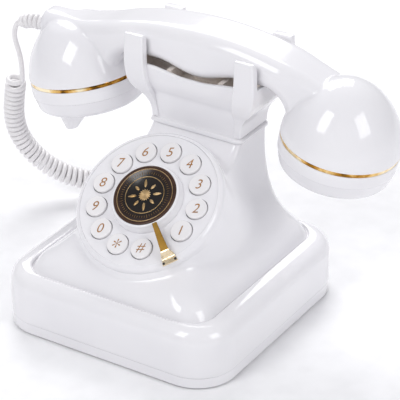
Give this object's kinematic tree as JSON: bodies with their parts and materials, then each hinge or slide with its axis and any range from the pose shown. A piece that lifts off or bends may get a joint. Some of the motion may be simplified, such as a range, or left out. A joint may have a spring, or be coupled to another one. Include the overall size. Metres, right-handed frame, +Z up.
{
  "type": "push-button desk telephone",
  "caption": "Old-style desk telephone: flared base, round dial face of push keys with fixed hub and finger stop, pronged cradle, domed handset on a coiled cord.",
  "frame": {"origin": "on the table plane under the middle of the base, at the undersides of the rubber feet", "axes": "+Z up, +X along the handset towards the earpiece, -Y towards the person using the keys"},
  "size_m": [0.2753, 0.2038, 0.161],
  "materials": {
    "board": "solder-masked board",
    "cord": "satin vinyl",
    "dark_parts": "moulded",
    "feet": "matte",
    "gold_trim": "polished gold plate",
    "light_parts": "moulded",
    "medallion_face": "dark lacquer with gold lines",
    "membrane": "matte silicone",
    "piezo": "plain",
    "plug_clear": "clear moulded",
    "spring_steel": "bright drawn",
    "steel_parts": "zinc plated",
    "white_cradle": "glossy moulded",
    "white_handset": "glossy moulded",
    "white_keys": "glossy moulded",
    "white_shell": "glossy moulded"
  },
  "bodies": {
    "base": {"ballast_plate": "steel_parts", "base_plug": "plug_clear", "board_parts": "dark_parts", "body_shell": "white_shell", "bottom_plate": "light_parts", "bracket_posts": "light_parts", "bracket_screws": "steel_parts", "case_screws": "steel_parts", "cord_coil": "cord", "cord_jack": "dark_parts", "cord_strand": "cord", "cradle": "white_cradle", "dial_plate": "white_shell", "finger_stop": "gold_trim", "hook_bracket": "steel_parts", "hook_spring": "spring_steel", "hook_switch": "dark_parts", "hub_ring": "white_shell", "key_membrane": "membrane", "keypad_board": "board", "keypad_screws": "steel_parts", "lever_pin": "steel_parts", "line_jack": "dark_parts", "main_board": "board", "medallion": "medallion_face", "rest_ribs": "light_parts", "ringer": "piezo", "rubber_feet": "feet", "stop_screws": "steel_parts"},
    "handset": {"earpiece_cap": "white_handset", "earpiece_ring": "gold_trim", "handset_body": "white_handset", "handset_jack": "dark_parts", "handset_plug": "plug_clear", "handset_weight": "steel_parts", "microphone": "steel_parts", "microphone_boot": "feet", "mouthpiece_cap": "white_handset", "mouthpiece_ring": "gold_trim", "receiver": "dark_parts", "small_coil": "cord"},
    "key_0": {"key_0": "white_keys"},
    "key_1": {"key_1": "white_keys"},
    "key_2": {"key_2": "white_keys"},
    "key_3": {"key_3": "white_keys"},
    "key_4": {"key_4": "white_keys"},
    "key_5": {"key_5": "white_keys"},
    "key_6": {"key_6": "white_keys"},
    "key_7": {"key_7": "white_keys"},
    "key_8": {"key_8": "white_keys"},
    "key_9": {"key_9": "white_keys"},
    "key_hash": {"key_hash": "white_keys"},
    "key_star": {"key_star": "white_keys"},
    "hook_plunger": {"hook_plunger": "white_cradle"},
    "switch_lever": {"switch_lever": "light_parts"}
  },
  "joints": [
    {"name": "handset_lift", "type": "slide", "parent": "base", "child": "handset", "axis": [0, 0, 1], "range_m": [0, 0.06]},
    {"name": "key_0_press", "type": "slide", "parent": "base", "child": "key_0", "axis": [0, 0.5878, -0.809], "range_m": [0, 0.0012], "stiffness_N_per_m": 400, "springref_m": -0.0005},
    {"name": "key_1_press", "type": "slide", "parent": "base", "child": "key_1", "axis": [0, 0.5878, -0.809], "range_m": [0, 0.0012], "stiffness_N_per_m": 400, "springref_m": -0.0005},
    {"name": "key_2_press", "type": "slide", "parent": "base", "child": "key_2", "axis": [0, 0.5878, -0.809], "range_m": [0, 0.0012], "stiffness_N_per_m": 400, "springref_m": -0.0005},
    {"name": "key_3_press", "type": "slide", "parent": "base", "child": "key_3", "axis": [0, 0.5878, -0.809], "range_m": [0, 0.0012], "stiffness_N_per_m": 400, "springref_m": -0.0005},
    {"name": "key_4_press", "type": "slide", "parent": "base", "child": "key_4", "axis": [0, 0.5878, -0.809], "range_m": [0, 0.0012], "stiffness_N_per_m": 400, "springref_m": -0.0005},
    {"name": "key_5_press", "type": "slide", "parent": "base", "child": "key_5", "axis": [0, 0.5878, -0.809], "range_m": [0, 0.0012], "stiffness_N_per_m": 400, "springref_m": -0.0005},
    {"name": "key_6_press", "type": "slide", "parent": "base", "child": "key_6", "axis": [0, 0.5878, -0.809], "range_m": [0, 0.0012], "stiffness_N_per_m": 400, "springref_m": -0.0005},
    {"name": "key_7_press", "type": "slide", "parent": "base", "child": "key_7", "axis": [0, 0.5878, -0.809], "range_m": [0, 0.0012], "stiffness_N_per_m": 400, "springref_m": -0.0005},
    {"name": "key_8_press", "type": "slide", "parent": "base", "child": "key_8", "axis": [0, 0.5878, -0.809], "range_m": [0, 0.0012], "stiffness_N_per_m": 400, "springref_m": -0.0005},
    {"name": "key_9_press", "type": "slide", "parent": "base", "child": "key_9", "axis": [0, 0.5878, -0.809], "range_m": [0, 0.0012], "stiffness_N_per_m": 400, "springref_m": -0.0005},
    {"name": "key_hash_press", "type": "slide", "parent": "base", "child": "key_hash", "axis": [0, 0.5878, -0.809], "range_m": [0, 0.0012], "stiffness_N_per_m": 400, "springref_m": -0.0005},
    {"name": "key_star_press", "type": "slide", "parent": "base", "child": "key_star", "axis": [0, 0.5878, -0.809], "range_m": [0, 0.0012], "stiffness_N_per_m": 400, "springref_m": -0.0005},
    {"name": "hook_plunger_rise", "type": "slide", "parent": "base", "child": "hook_plunger", "axis": [0, 0, 1], "range_m": [0, 0.004], "stiffness_N_per_m": 150, "springref_m": 0.006, "deforming": ["hook_spring"]},
    {"name": "switch_lever_turn", "type": "hinge", "parent": "base", "child": "switch_lever", "pos_m": [0.014, 0.0408, 0.0961], "axis": [0, 1, 0], "range_deg": [0, 15.5]}
  ],
  "couplings": [
    {"joint": "hook_plunger_rise", "follows": "handset_lift", "ratio": 0.0666},
    {"joint": "switch_lever_turn", "follows": "handset_lift", "rad_per_m": 4.5}
  ]
}
